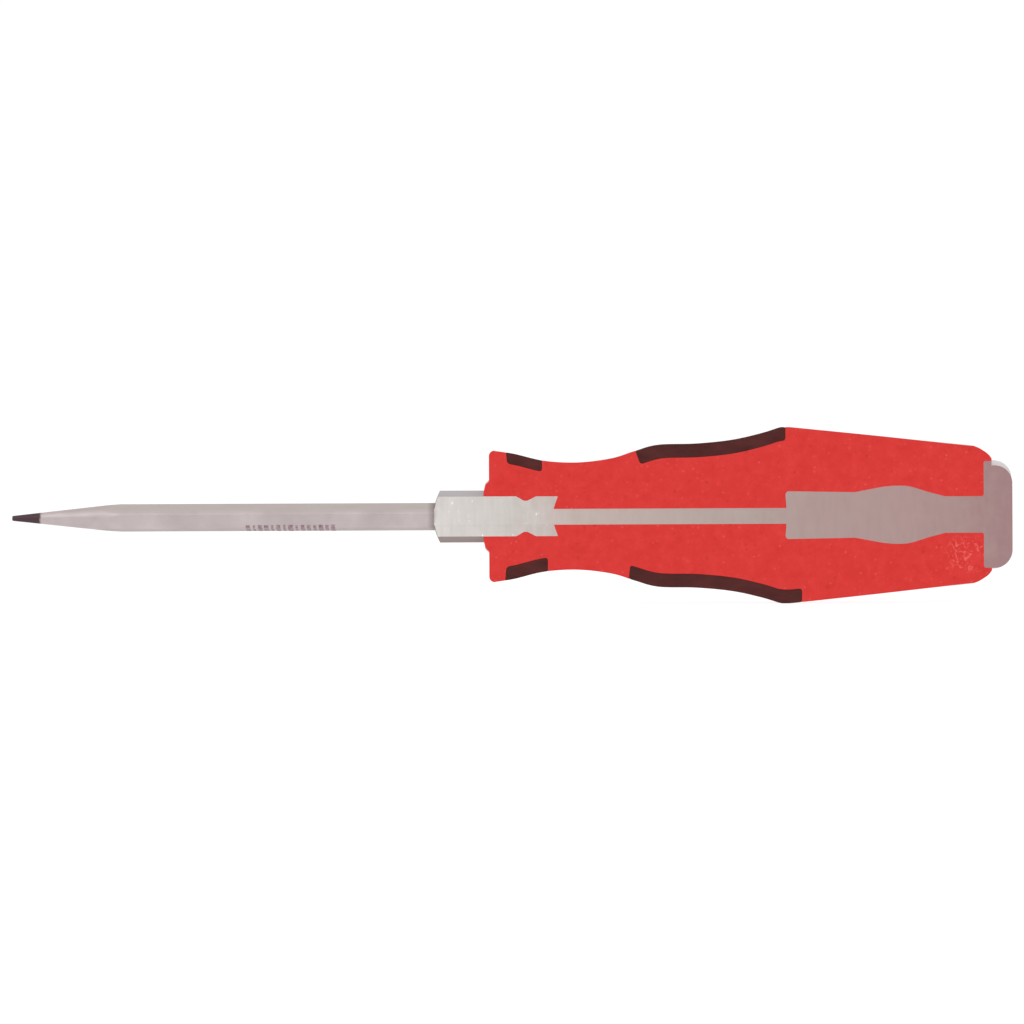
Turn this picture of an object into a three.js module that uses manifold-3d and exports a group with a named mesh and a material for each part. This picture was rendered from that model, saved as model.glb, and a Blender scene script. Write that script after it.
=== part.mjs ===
// Scratch awl with a tang-through handle, made as a lengthwise section model.
//
// One steel bar runs from the point to the striking cap. A hexagonal bolster, an
// anchor and the cap are fixed on it, and the handle is moulded round them, with
// soft grip pads let into its six flats. From the bolster's front end to the cap
// everything nearer than the section plane is milled away; the exposed shank is
// left whole.
//
// Millimetres, +Z up. The origin is the centre of the striking face, on the
// tool's axis. +X points from the point to the cap, and the section faces -Y.

import * as THREE from 'three';
import { mergeVertices } from 'three/addons/utils/BufferGeometryUtils.js';
import Module from 'manifold-3d';

const wasm = await Module();
wasm.setup();

// ---- driving dimensions -------------------------------------------------

const LENGTH = 237.5;              // point to striking face
const BLADE = 100.35;              // exposed from point to bolster
const SECTION_DEPTH = 2.5;         // section plane, in front of the axis
const GAP = 0.3;                   // kept between pieces that touch

const BAR_APOTHEM = 3.0;           // 6 mm hexagonal bar
const BAR_ROLL = 18;               // degrees the bar's corners are turned
const POINT_RADIUS = 0.6;          // the point's blunt end
const POINT_HALF_ANGLE = 6.2;      // degrees
const SPIGOT_RADIUS = 1.75;        // turned-down end of the tang
const SPIGOT_END = -2.8;           // how far the spigot reaches into the cap

const BOLSTER_APOTHEM = 5.35;      // 10.7 mm across flats
const BOLSTER_LENGTH = 29.35;
const BOLSTER_CHAMFER = 1.6;       // length of the chamfer on its front end
const BOLSTER_FACE_RADIUS = 4.0;
const GROOVE_FRONT = 19.5;         // from the bolster's front face
const GROOVE_WIDTH = 4.7;
const GROOVE_RADIUS = 4.45;
const COUNTERSINK = 1.0;           // depth of the bolster's hollow rear end

const ANCHOR_FRONT = -53.8;
const ANCHOR_REAR = -9.4;          // where the anchor meets the cap's neck
const ANCHOR_RADIUS = 6.2;
const ANCHOR_EDGE = 0.8;           // rounding of its front edge
const WAIST_X = -37.3;
const WAIST_RADIUS = 5.95;
const BULGE_X = -27.0;
const BULGE_RADIUS = 7.33;
const NECK_X = -16.0;
const NECK_RADIUS = 5.0;

const CAP_RADIUS = 12.9;
const CAP_THICKNESS = 6.8;
const CAP_CORNER = 4.2;            // radius of the cap's rounded rim
const CAP_EDGE = 0.6;              // chamfer of its front edge

const BOSS_RADIUS = 8.7;           // foot of the collar that the bolster leaves through
const BOSS_FRONT = -125.45;
const BOSS_FACE_RADIUS = 5.6;      // where the collar's front face starts to lean back
const BOSS_EDGE_RADIUS = 7.9;
const BOSS_LEAN = 0.5;             // how far the front face leans back at its edge
const HANDLE_FRONT = -124.1;
const HANDLE_REAR = -4.9;
const PEAK_X = -53.0;              // widest place of the handle
const PEAK_APOTHEM = 20.9;
const GRIP_X = -80.0;              // where the handle is most hexagonal
const FRONT_POWER = 6;             // how hexagonal it is: 2 is round, higher is more so
const GRIP_POWER = 13;
const ROUND_POWER = 2;

const PAD_THICKNESS = 3.2;
const THIN_PAD_THICKNESS = 2.6;    // the front pad on the top flat
const PAD_WIDTH = 10.6;
const FRONT_PAD_WIDTH = 8.6;
const PAD_END_RADIUS = 3.0;
const PAD_RAKE = 5;                // degrees a pad's front end leans
const TOP_PAD_RAKE = 20;           // the rear pad on the top flat leans more

const ROUND = 36;                  // sides of a turned piece
const CLEAR_OF_CORNERS = 0.5;      // a round cut that has to miss the bar's corners
const REACH = 60;                  // longer than the object is wide

const BOLSTER_FRONT = -LENGTH + BLADE;
const BOLSTER_REAR = BOLSTER_FRONT + BOLSTER_LENGTH;
const FLAT_TO_CORNER = 1 / Math.cos(Math.PI / 6);

// ---- solids and booleans ------------------------------------------------

// A closed geometry as a solid that can be cut and joined.
function solid(geometry) {
  const bare = geometry.index ? geometry.toNonIndexed() : geometry.clone();
  bare.deleteAttribute('normal');
  bare.deleteAttribute('uv');
  const merged = mergeVertices(bare, 1e-4);
  return new wasm.Manifold(new wasm.Mesh({
    numProp: 3,
    vertProperties: new Float32Array(merged.attributes.position.array),
    triVerts: new Uint32Array(merged.index.array),
  }));
}

// A finished solid as a named, coloured mesh.
function named(name, body, look) {
  const mesh = body.getMesh();
  const geometry = new THREE.BufferGeometry();
  geometry.setAttribute('position', new THREE.BufferAttribute(mesh.vertProperties, 3));
  geometry.setIndex(new THREE.BufferAttribute(mesh.triVerts, 1));
  geometry.computeVertexNormals();
  const piece = new THREE.Mesh(geometry, look);
  piece.name = name;
  return piece;
}

// three.js turns its round shapes about +Y; this lays them along +X.
function alongX(geometry) {
  return geometry.rotateZ(-Math.PI / 2);
}

// A round body about the X axis. outline holds [x, radius] pairs, and starts
// and ends on the axis.
function turnedGeometry(outline) {
  const points = outline.map(([x, radius]) => new THREE.Vector2(radius, x));
  return alongX(new THREE.LatheGeometry(points, ROUND));
}

function turned(outline) {
  return solid(turnedGeometry(outline));
}

// A hexagonal bar about the X axis; roll is the first corner's angle from +Z.
function hexBar(apothem, x0, x1, roll = 0) {
  const radius = apothem * FLAT_TO_CORNER;
  const start = THREE.MathUtils.degToRad(roll);
  const bar = new THREE.CylinderGeometry(radius, radius, x1 - x0, 6, 1, false, start);
  return solid(alongX(bar).translate((x0 + x1) / 2, 0, 0));
}

// Everything nearer than the section plane, from the bolster's front end on.
function sectionCut() {
  const length = REACH - BOLSTER_FRONT;
  const block = new THREE.BoxGeometry(length, REACH, 2 * REACH);
  block.translate(BOLSTER_FRONT + length / 2, -SECTION_DEPTH - REACH / 2, 0);
  return solid(block);
}

// ---- steel pieces -------------------------------------------------------
// Each outline takes a clearance, so that the same shape, grown by the gap,
// also cuts the room for it in the pieces round it.

// The bar: a blunt conical point, the shank, the tang and a turned spigot.
function barBody(clearance = 0) {
  const shoulder = ANCHOR_FRONT - GAP;
  const envelope = BAR_APOTHEM * FLAT_TO_CORNER + clearance + CLEAR_OF_CORNERS;
  const taper = (envelope - POINT_RADIUS) / Math.tan(THREE.MathUtils.degToRad(POINT_HALF_ANGLE));
  const spigot = SPIGOT_RADIUS + clearance;
  const ground = turned([
    [-LENGTH, 0],
    [-LENGTH, POINT_RADIUS],
    [-LENGTH + taper, envelope],
    [shoulder + clearance, envelope],
    [shoulder + clearance, spigot],
    [SPIGOT_END + clearance, spigot],
    [SPIGOT_END + clearance, 0],
  ]);
  const stock = hexBar(BAR_APOTHEM + clearance, -LENGTH - 1, 0, BAR_ROLL);
  return ground.intersect(stock);
}

// The bolster: a chamfered hexagon, with a turned groove and a turned tail that
// hold it in the handle, and a hollow rear end.
function bolsterBody(clearance = 0) {
  const corner = BOLSTER_APOTHEM * FLAT_TO_CORNER + clearance;
  const tail = BOLSTER_APOTHEM + clearance;
  const groove = GROOVE_RADIUS + clearance;
  const front = BOLSTER_FRONT;
  const grooveFront = front + GROOVE_FRONT;
  const grooveRear = grooveFront + GROOVE_WIDTH;
  const lathed = turned([
    [front, 0],
    [front, BOLSTER_FACE_RADIUS],
    [front + BOLSTER_CHAMFER, corner + CLEAR_OF_CORNERS],
    [grooveFront, corner + CLEAR_OF_CORNERS],
    [grooveFront, tail],
    [grooveFront + 0.4 * GROOVE_WIDTH, groove],
    [grooveFront + 0.55 * GROOVE_WIDTH, groove],
    [grooveRear, tail],
    [BOLSTER_REAR + clearance, tail],
    [BOLSTER_REAR - COUNTERSINK + clearance, BAR_APOTHEM],
    [BOLSTER_REAR - COUNTERSINK + clearance, 0],
  ]);
  return lathed.intersect(hexBar(BOLSTER_APOTHEM + clearance, front - 1, BOLSTER_REAR + 1));
}

// The anchor: a sleeve on the end of the tang, with a bulge that grips the
// handle and keeps hammer blows off it.
function anchorBody(clearance = 0) {
  const front = ANCHOR_FRONT - clearance;
  const swell = new THREE.SplineCurve([
    new THREE.Vector2(WAIST_X, WAIST_RADIUS),
    new THREE.Vector2(BULGE_X - 5.7, 6.75),
    new THREE.Vector2(BULGE_X - 3.0, 7.17),
    new THREE.Vector2(BULGE_X, BULGE_RADIUS),
    new THREE.Vector2(BULGE_X + 2.8, 7.12),
    new THREE.Vector2(BULGE_X + 7.0, 5.95),
    new THREE.Vector2(NECK_X, NECK_RADIUS),
  ]);
  const outline = swell.getPoints(10).map((point) => [point.x, point.y + clearance]);
  return turned([
    [front, 0],
    [front, ANCHOR_RADIUS - ANCHOR_EDGE + clearance],
    [front + ANCHOR_EDGE, ANCHOR_RADIUS + clearance],
    ...outline,
    [ANCHOR_REAR, NECK_RADIUS + clearance],
    [ANCHOR_REAR, 0],
  ]);
}

// The striking cap: a thick disc with a rounded rim and a short neck.
function capBody(clearance = 0) {
  const front = -CAP_THICKNESS - clearance;
  const radius = CAP_RADIUS + clearance;
  const rimSteps = 5;
  const rim = [];
  for (let step = 0; step <= rimSteps; step += 1) {
    const angle = (Math.PI / 2) * (step / rimSteps);
    rim.push([
      -CAP_CORNER + CAP_CORNER * Math.sin(angle),
      radius - CAP_CORNER + CAP_CORNER * Math.cos(angle),
    ]);
  }
  return turned([
    [ANCHOR_REAR + GAP - clearance, 0],
    [ANCHOR_REAR + GAP - clearance, NECK_RADIUS + clearance],
    [front, NECK_RADIUS + clearance],
    [front, radius - CAP_EDGE],
    [front + CAP_EDGE, radius],
    ...rim,
    [0, 0],
  ]);
}

// ---- handle -------------------------------------------------------------

// The handle's half-height along its length, from the front edge to the peak.
const GRIP_CURVE = new THREE.SplineCurve([
  new THREE.Vector2(-122.6, 15.6),
  new THREE.Vector2(-118.0, 14.85),
  new THREE.Vector2(-111.0, 13.2),
  new THREE.Vector2(-103.0, 12.75),
  new THREE.Vector2(-95.0, 13.7),
  new THREE.Vector2(-89.5, 15.4),
  new THREE.Vector2(-84.0, 16.85),
  new THREE.Vector2(-75.0, 17.1),
  new THREE.Vector2(-66.5, 17.95),
  new THREE.Vector2(-59.5, 19.5),
  new THREE.Vector2(-55.0, PEAK_APOTHEM),
]);
const GRIP_STEPS = 20;

// Its rounded front edge, as [x, half-height].
const FRONT_EDGE = [
  [HANDLE_FRONT, 14.4],
  [HANDLE_FRONT + 0.5, 15.2],
];

// Its taper behind the peak, and the rounded bevel at its rear end.
const REAR_TAPER = [
  [PEAK_X, PEAK_APOTHEM],
  [-38.0, 19.35],
  [-23.0, 17.8],
  [-9.0, 16.4],
  [-7.7, 15.85],
  [-5.8, 14.6],
  [HANDLE_REAR, 13.5],
];

// How hexagonal the handle is at x.
function hexPower(x) {
  const { lerp, smoothstep } = THREE.MathUtils;
  const front = lerp(FRONT_POWER, GRIP_POWER, smoothstep(x, HANDLE_FRONT, GRIP_X));
  return lerp(front, ROUND_POWER, smoothstep(x, PEAK_X, HANDLE_REAR));
}

// Radius over half-height at an angle from +Z, on a section with six flats.
function hexFactor(angle, power) {
  let sum = 0;
  for (let flat = 0; flat < 3; flat += 1) {
    sum += Math.abs(Math.cos(angle - (flat * Math.PI) / 3)) ** power;
  }
  return (sum / (1 + 2 * 0.5 ** power)) ** (-1 / power);
}

// The handle's outside, or the same form set in by an inset.
function handleForm(inset = 0) {
  const grip = GRIP_CURVE.getPoints(GRIP_STEPS).map((point) => [point.x, point.y]);
  const profile = [...FRONT_EDGE, ...grip, ...REAR_TAPER];
  const geometry = turnedGeometry([
    [HANDLE_FRONT, 0],
    ...profile.map(([x, height]) => [x, height - inset]),
    [HANDLE_REAR, 0],
  ]);
  const places = geometry.attributes.position;
  for (let i = 0; i < places.count; i += 1) {
    const angle = Math.atan2(-places.getY(i), places.getZ(i));
    const factor = hexFactor(angle, hexPower(places.getX(i)));
    places.setY(i, places.getY(i) * factor);
    places.setZ(i, places.getZ(i) * factor);
  }
  return solid(geometry);
}

// The block that a pad's outline makes when it is pushed out from the axis: a
// rounded oblong whose front end leans, so that its outer edge leads.
function padBlock({ x0, x1, width, frontHeight, turn, rake = PAD_RAKE }, grow = 0) {
  const half = width / 2 + grow;
  const low = x0 - grow;
  const high = x1 + grow;
  const corner = PAD_END_RADIUS + grow;
  const outline = new THREE.Shape();
  outline.moveTo(low + corner, -half);
  outline.lineTo(high - corner, -half);
  outline.absarc(high - corner, -half + corner, corner, -Math.PI / 2, 0);
  outline.absarc(high - corner, half - corner, corner, 0, Math.PI / 2);
  outline.lineTo(low + corner, half);
  outline.absarc(low + corner, half - corner, corner, Math.PI / 2, Math.PI);
  outline.absarc(low + corner, -half + corner, corner, Math.PI, 1.5 * Math.PI);
  const block = new THREE.ExtrudeGeometry(outline, {
    depth: REACH / 2,
    bevelEnabled: false,
    curveSegments: 4,
  });
  const places = block.attributes.position;
  const lean = Math.tan(THREE.MathUtils.degToRad(rake));
  const middle = (x0 + x1) / 2;
  for (let i = 0; i < places.count; i += 1) {
    if (places.getX(i) < middle) {
      places.setX(i, places.getX(i) + (frontHeight - places.getZ(i)) * lean);
    }
  }
  return solid(block.rotateX(THREE.MathUtils.degToRad(turn)));
}

// Rear and front pads. turn is each flat's angle from +Z about the axis; the
// flats nearer than the section plane are gone, and so are their pads.
const REAR_PAD = {
  x0: -90.0, x1: -52.5, width: PAD_WIDTH, frontHeight: 15.4, depth: PAD_THICKNESS,
};
const FRONT_PAD = {
  x0: -120.5, x1: -110.8, width: FRONT_PAD_WIDTH, frontHeight: 15.2, depth: PAD_THICKNESS,
};
const PADS = [
  { ...REAR_PAD, name: 'rear_pad_top', x0: -89.3, x1: -53.8, turn: 0, rake: TOP_PAD_RAKE },
  { ...REAR_PAD, name: 'rear_pad_upper_back', turn: -60 },
  { ...REAR_PAD, name: 'rear_pad_lower_back', turn: -120 },
  { ...REAR_PAD, name: 'rear_pad_bottom', x0: -91.0, x1: -50.0, turn: 180 },
  {
    ...FRONT_PAD, name: 'front_pad_top', x0: -120.2, x1: -111.3, turn: 0,
    depth: THIN_PAD_THICKNESS,
  },
  { ...FRONT_PAD, name: 'front_pad_upper_back', turn: -60 },
  { ...FRONT_PAD, name: 'front_pad_lower_back', turn: -120 },
  { ...FRONT_PAD, name: 'front_pad_bottom', x1: -110.0, turn: 180 },
];

// The red core: the handle's form and its boss, less the pads' windows and the
// room for the steel inside.
function coreBody(form) {
  const boss = turned([
    [BOSS_FRONT, 0],
    [BOSS_FRONT, BOSS_FACE_RADIUS],
    [BOSS_FRONT + BOSS_LEAN, BOSS_EDGE_RADIUS],
    [HANDLE_FRONT, BOSS_RADIUS],
    [HANDLE_FRONT + 1, BOSS_RADIUS],
    [HANDLE_FRONT + 1, 0],
  ]);
  let core = form.add(boss);
  for (const pad of PADS) {
    core = core.subtract(padBlock(pad, GAP).subtract(handleForm(pad.depth + GAP)));
  }
  return core
    .subtract(bolsterBody(GAP))
    .subtract(barBody(GAP))
    .subtract(anchorBody(GAP))
    .subtract(capBody(GAP));
}

// ---- finishes -----------------------------------------------------------

const groundSteel = new THREE.MeshStandardMaterial({
  color: 0xc1b5b4,
  metalness: 0.9,
  roughness: 0.35,
});
const cutSteel = new THREE.MeshStandardMaterial({
  color: 0xd0c8c5,
  metalness: 0.9,
  roughness: 0.45,
});
const warmSteel = new THREE.MeshStandardMaterial({
  color: 0xb0918f,
  metalness: 0.9,
  roughness: 0.4,
});
const redPlastic = new THREE.MeshStandardMaterial({
  color: 0xda3e3c,
  metalness: 0,
  roughness: 0.45,
});
const softRubber = new THREE.MeshStandardMaterial({
  color: 0x59302e,
  metalness: 0,
  roughness: 0.8,
});

// ---- the object ---------------------------------------------------------

const cut = sectionCut();
const form = handleForm();
const awl = new THREE.Group();

awl.add(named('awl_bar', barBody().subtract(cut), groundSteel));
awl.add(named('hex_bolster', bolsterBody().subtract(barBody(GAP)).subtract(cut), cutSteel));
awl.add(named('tang_anchor', anchorBody().subtract(barBody(GAP)).subtract(cut), warmSteel));
awl.add(named('strike_cap', capBody().subtract(barBody(GAP)).subtract(cut), warmSteel));
awl.add(named('handle_core', coreBody(form).subtract(cut), redPlastic));
for (const pad of PADS) {
  const body = form.intersect(padBlock(pad)).subtract(handleForm(pad.depth));
  awl.add(named(pad.name, body.subtract(cut), softRubber));
}

export default awl;
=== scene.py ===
"""A scratch awl cut open lengthwise: the steel bar, bolster, anchor and striking cap
in a red moulded handle with soft grip pads, lying square on to the camera.

The shapes are worked out in millimetres, and turned to metres when a piece is dressed
in its finishes. The part's axis lies along X, with the point at the low end, and the
section faces -Y.
"""

import math

import bmesh
import bpy
import numpy as np
from mathutils import Matrix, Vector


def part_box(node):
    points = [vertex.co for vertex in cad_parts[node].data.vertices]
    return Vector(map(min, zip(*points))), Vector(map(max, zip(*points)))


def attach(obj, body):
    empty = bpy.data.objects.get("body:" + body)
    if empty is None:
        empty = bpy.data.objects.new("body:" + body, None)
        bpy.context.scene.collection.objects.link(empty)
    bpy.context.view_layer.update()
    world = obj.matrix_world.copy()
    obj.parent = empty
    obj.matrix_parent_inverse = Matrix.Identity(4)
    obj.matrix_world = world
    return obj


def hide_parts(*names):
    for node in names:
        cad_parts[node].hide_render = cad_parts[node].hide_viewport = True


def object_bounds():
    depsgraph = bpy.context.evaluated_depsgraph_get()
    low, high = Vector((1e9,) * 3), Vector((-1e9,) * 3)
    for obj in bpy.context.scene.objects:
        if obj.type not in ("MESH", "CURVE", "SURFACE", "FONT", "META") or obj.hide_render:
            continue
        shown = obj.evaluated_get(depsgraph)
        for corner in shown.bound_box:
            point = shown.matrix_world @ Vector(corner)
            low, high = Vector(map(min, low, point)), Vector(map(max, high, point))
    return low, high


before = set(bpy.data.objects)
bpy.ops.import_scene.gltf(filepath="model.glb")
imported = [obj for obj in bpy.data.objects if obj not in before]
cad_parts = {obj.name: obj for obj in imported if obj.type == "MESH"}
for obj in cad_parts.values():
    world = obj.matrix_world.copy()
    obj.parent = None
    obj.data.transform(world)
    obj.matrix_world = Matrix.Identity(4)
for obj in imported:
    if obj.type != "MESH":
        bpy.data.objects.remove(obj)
cad_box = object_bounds()

MM = 0.001


# ---- places and sizes, from the frame ----------------------------------------


def box_mm(node):
    """Lowest and highest corners of a CAD node, in millimetres."""
    low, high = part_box(node)
    return np.array(low) / MM, np.array(high) / MM


bar_low, bar_high = box_mm("awl_bar")
bolster_low, bolster_high = box_mm("hex_bolster")
anchor_low, anchor_high = box_mm("tang_anchor")
core_low, core_high = box_mm("handle_core")
cap_high = box_mm("strike_cap")[1]

SECTION_Y = core_low[1]
FLAT_TO_CORNER = 1 / math.cos(math.pi / 6)

# The hexagonal bar; its corners are turned by BAR_ROLL degrees.
POINT_X = bar_low[0]
POINT_RADIUS = 0.6
POINT_HALF_ANGLE = 6.2
DARK_POINT = 6.95
BAR_APOTHEM = 3.0
BAR_ROLL = 18.0
SPIGOT_RADIUS = 1.75
SPIGOT_END = bar_high[0]

# The size marks go over the corner between the shank's lower and middle facets.
MARKS_FRONT = POINT_X + 56.2
MARKS_LENGTH = 20.2
MARKS_COUNT = 15.0
LOWER_MARKS_FACET = BAR_ROLL + 150
UPPER_MARKS_FACET = BAR_ROLL + 90

# The bolster, with its groove and its hollow tail.
BOLSTER_FRONT = bolster_low[0]
BOLSTER_REAR = bolster_high[0]
BOLSTER_APOTHEM = 5.35
GROOVE_FRONT = BOLSTER_FRONT + 19.5
GROOVE_WIDTH = 4.7
GROOVE_RADIUS = 4.45
COUNTERSINK = 1.0

# The anchor, its waist, its bulge and its neck; its front face is slightly hollow.
ANCHOR_FRONT = anchor_low[0]
ANCHOR_REAR = anchor_high[0]
ANCHOR_RADIUS = 6.2
ANCHOR_EDGE = 0.8
ANCHOR_HOLLOW = 0.5
NECK_RADIUS = 5.0
WAIST = (ANCHOR_FRONT + 16.5, 5.95)
BULGE = (ANCHOR_FRONT + 26.8, 7.33)
NECK_FRONT = (ANCHOR_FRONT + 37.8, NECK_RADIUS)

# The striking cap. Its section is relieved at the upper rear corner, by RELIEF_DROP
# and back to RELIEF_Y, where the plated rim shows.
STRIKE_X = cap_high[0]
CAP_RADIUS = cap_high[2]
CAP_THICKNESS = 6.8
CAP_CORNER = 4.2
RELIEF_DROP = 1.3
RELIEF_Y = -1.2

# The handle and the boss on its front end.
BOSS_FRONT = core_low[0]
BOSS_RADIUS = 8.7
HANDLE_FRONT = BOSS_FRONT + 1.35
HANDLE_REAR = core_high[0]
GRIP_X = HANDLE_FRONT + 44.1
PEAK_X = HANDLE_FRONT + 71.1
PEAK_APOTHEM = core_high[2]

# How hexagonal the handle is: 2 is round, and higher is more hexagonal.
FRONT_POWER = 6.0
GRIP_POWER = 13.0
ROUND_POWER = 2.0

# The handle's half-height up to its peak: distance behind its front face, and height.
GRIP_KNOTS = [
    (1.5, 15.6),
    (6.1, 14.85),
    (13.1, 13.2),
    (21.1, 12.75),
    (29.1, 13.7),
    (34.6, 15.4),
    (40.1, 16.85),
    (49.1, 17.1),
    (57.6, 17.95),
    (64.6, 19.5),
    (69.1, PEAK_APOTHEM),
]

# The bevel at the handle's rear end.
BEVEL = [
    (HANDLE_REAR - 4.1, 16.4),
    (HANDLE_REAR - 2.8, 15.85),
    (HANDLE_REAR - 0.9, 14.6),
    (HANDLE_REAR, 13.5),
]

# The grip pads.
PAD_THICKNESS = 3.2
THIN_PAD_THICKNESS = 2.6
REAR_PAD_WIDTH = 10.6
FRONT_PAD_WIDTH = 8.6
PAD_RAKE = 5.0
TOP_PAD_RAKE = 20.0
PAD_CORNER = 3.0
PAD_EDGE = 0.4
PAD_FOOT = 0.7
WINDOW_REACH = 2.5

# Each pad's width, its angle from the top flat, the lean of its front end, and its
# thickness.
PADS = {
    "rear_pad_top": (REAR_PAD_WIDTH, 0, TOP_PAD_RAKE, PAD_THICKNESS),
    "rear_pad_upper_back": (REAR_PAD_WIDTH, 60, PAD_RAKE, PAD_THICKNESS),
    "rear_pad_lower_back": (REAR_PAD_WIDTH, 120, PAD_RAKE, PAD_THICKNESS),
    "rear_pad_bottom": (REAR_PAD_WIDTH, 180, PAD_RAKE, PAD_THICKNESS),
    "front_pad_top": (FRONT_PAD_WIDTH, 0, PAD_RAKE, THIN_PAD_THICKNESS),
    "front_pad_upper_back": (FRONT_PAD_WIDTH, 60, PAD_RAKE, PAD_THICKNESS),
    "front_pad_lower_back": (FRONT_PAD_WIDTH, 120, PAD_RAKE, PAD_THICKNESS),
    "front_pad_bottom": (FRONT_PAD_WIDTH, 180, PAD_RAKE, PAD_THICKNESS),
}

# What is left free between the pieces.
PAD_SEAM = 0.05
STEEL_SEAM = 0.002


# ---- small helpers ------------------------------------------------------------


def add(tree, kind, inputs=None, stops=(), **settings):
    """A node with its settings, colour stops, and inputs set or linked by name or place."""
    made = tree.nodes.new(kind)
    for count, (position, colour) in enumerate(stops):
        ramp = made.color_ramp.elements
        stop = ramp[count] if count < 2 else ramp.new(position)
        stop.position = position
        stop.color = srgb(colour)
    for name, value in settings.items():
        setattr(made, name, value)
    for socket, value in (inputs or {}).items():
        if isinstance(value, bpy.types.NodeSocket):
            tree.links.new(value, made.inputs[socket])
        else:
            made.inputs[socket].default_value = value
    return made


def srgb(code):
    """An sRGB hex colour as linear RGBA."""
    parts = [int(code[i : i + 2], 16) / 255 for i in (1, 3, 5)]
    linear = [c / 12.92 if c <= 0.04045 else ((c + 0.055) / 1.055) ** 2.4 for c in parts]
    return (*linear, 1.0)


def mesh_object(name, points, faces):
    """A new object from points in millimetres, its faces turned outwards."""
    mesh = bpy.data.meshes.new(name)
    mesh.from_pydata(np.asarray(points, float).tolist(), [], faces)
    form = bmesh.new()
    form.from_mesh(mesh)
    bmesh.ops.recalc_face_normals(form, faces=form.faces[:])
    form.to_mesh(mesh)
    form.free()
    made = bpy.data.objects.new(name, mesh)
    bpy.context.scene.collection.objects.link(made)
    return made


def settle(piece):
    """Turns an object's modifiers into plain mesh."""
    graph = bpy.context.evaluated_depsgraph_get()
    mesh = bpy.data.meshes.new_from_object(piece.evaluated_get(graph))
    piece.modifiers.clear()
    old = piece.data
    piece.data = mesh
    bpy.data.meshes.remove(old)
    return piece


def carve(piece, tool, operation="DIFFERENCE", keep_tool=False):
    """Cuts, joins or trims a piece with another."""
    step = piece.modifiers.new("carve", "BOOLEAN")
    step.solver = "MANIFOLD"
    step.operation = operation
    step.object = tool
    settle(piece)
    if not keep_tool:
        bpy.data.meshes.remove(tool.data)
    return piece


def closed_rings(rings, sides):
    """The faces of a body whose points are a first one, rings of them, and a last one."""
    last = 1 + rings * sides
    faces = []
    for i in range(sides):
        j = (i + 1) % sides
        faces.append((0, 1 + i, 1 + j))
        for ring in range(rings - 1):
            a = 1 + ring * sides
            b = a + sides
            faces.append((a + i, b + i, b + j, a + j))
        a = 1 + (rings - 1) * sides
        faces.append((a + i, last, a + j))
    return faces


def turned(name, outline, sides=144):
    """A round body about the X axis. outline runs from the axis to the axis."""
    angles = np.arange(sides) * 2 * math.pi / sides
    points = [(outline[0][0], 0, 0)]
    for x, radius in outline[1:-1]:
        points += [(x, -radius * math.sin(a), radius * math.cos(a)) for a in angles]
    points.append((outline[-1][0], 0, 0))
    return mesh_object(name, points, closed_rings(len(outline) - 2, sides))


def arc(centre, radius, start, end, steps=6):
    """Outline points round a corner; angles are degrees from the +X direction."""
    turn = np.radians(np.linspace(start, end, steps + 1))
    return [(centre[0] + radius * math.cos(a), centre[1] + radius * math.sin(a)) for a in turn]


def stretch(start, end, spacing):
    """Outline points evenly along a straight line, its ends included."""
    start, end = np.array(start, float), np.array(end, float)
    count = max(1, round(float(np.linalg.norm(end - start)) / spacing))
    return [tuple(start + (end - start) * i / count) for i in range(count + 1)]


def smooth_line(knots, spacing):
    """Outline points on a smooth curve through the knots."""
    knots = np.array(knots, float)
    padded = np.vstack([2 * knots[0] - knots[1], knots, 2 * knots[-1] - knots[-2]])
    made = []
    for i in range(len(knots) - 1):
        p0, p1, p2, p3 = padded[i : i + 4]
        count = max(1, round(float(np.linalg.norm(p2 - p1)) / spacing))
        for t in np.arange(count) / count:
            made.append(
                tuple(
                    0.5
                    * (
                        2 * p1
                        + (p2 - p0) * t
                        + (2 * p0 - 5 * p1 + 4 * p2 - p3) * t**2
                        + (3 * p1 - p0 - 3 * p2 + p3) * t**3
                    )
                )
            )
    return made + [tuple(knots[-1])]


# ---- rules for the main shapes, as geometry nodes -------------------------------


def new_rule(name, sizes):
    """A geometry node tree with named size inputs; returns the tree and its ends."""
    tree = bpy.data.node_groups.new(name, "GeometryNodeTree")
    face = tree.interface
    face.new_socket("Geometry", in_out="INPUT", socket_type="NodeSocketGeometry")
    for size, value in sizes.items():
        socket = face.new_socket(size, in_out="INPUT", socket_type="NodeSocketFloat")
        socket.default_value = value
    face.new_socket("Finish", in_out="INPUT", socket_type="NodeSocketMaterial")
    face.new_socket("Geometry", in_out="OUTPUT", socket_type="NodeSocketGeometry")
    return tree, add(tree, "NodeGroupInput"), add(tree, "NodeGroupOutput")


def close_rule(tree, start, end, geometry):
    """Ends a tree in real geometry with its finish set."""
    real = add(tree, "GeometryNodeRealizeInstances", {"Geometry": geometry})
    finished = add(
        tree,
        "GeometryNodeSetMaterial",
        {"Geometry": real.outputs[0], "Material": start.outputs["Finish"]},
    )
    tree.links.new(finished.outputs[0], end.inputs[0])
    return tree


def apply_rule(piece, tree, sizes, finish):
    """Runs a tree on a piece with these sizes and leaves plain mesh."""
    step = piece.modifiers.new(tree.name, "NODES")
    step.node_group = tree
    ids = {s.name: s.identifier for s in tree.interface.items_tree if s.in_out == "INPUT"}
    for size, value in sizes.items():
        step[ids[size]] = value
    step[ids["Finish"]] = finish
    return settle(piece)


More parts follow.
